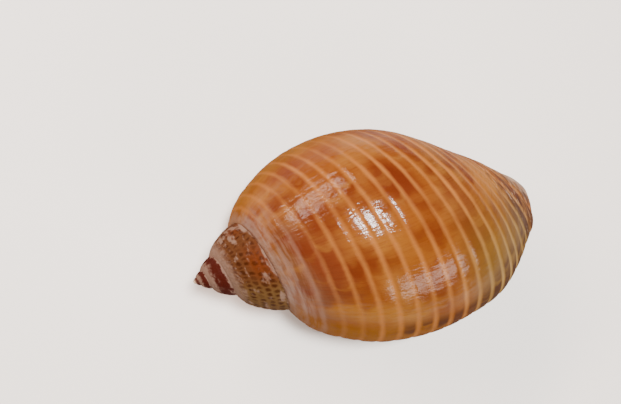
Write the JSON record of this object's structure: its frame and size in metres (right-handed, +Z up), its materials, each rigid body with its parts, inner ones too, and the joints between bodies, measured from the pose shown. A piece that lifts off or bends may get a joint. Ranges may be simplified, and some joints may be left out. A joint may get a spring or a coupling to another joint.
{
  "type": "tun shell",
  "caption": "Large thin globose sea snail shell with flat spiral ribs, a short pointed spire and a wide open mouth, lying on its mouth.",
  "frame": {"origin": "middle of the outline on the surface that the shell lies on", "axes": "+X along the shell towards its front end, +Z up from the resting surface, the lip on the -Y side"},
  "size_m": [0.1168, 0.0744, 0.0588],
  "materials": {
    "shell": "glossy amber brown shell with pale spiral lines and darker flames, pale glossy inside"
  },
  "bodies": {
    "root": {"tun_shell": "shell"}
  },
  "joints": []
}
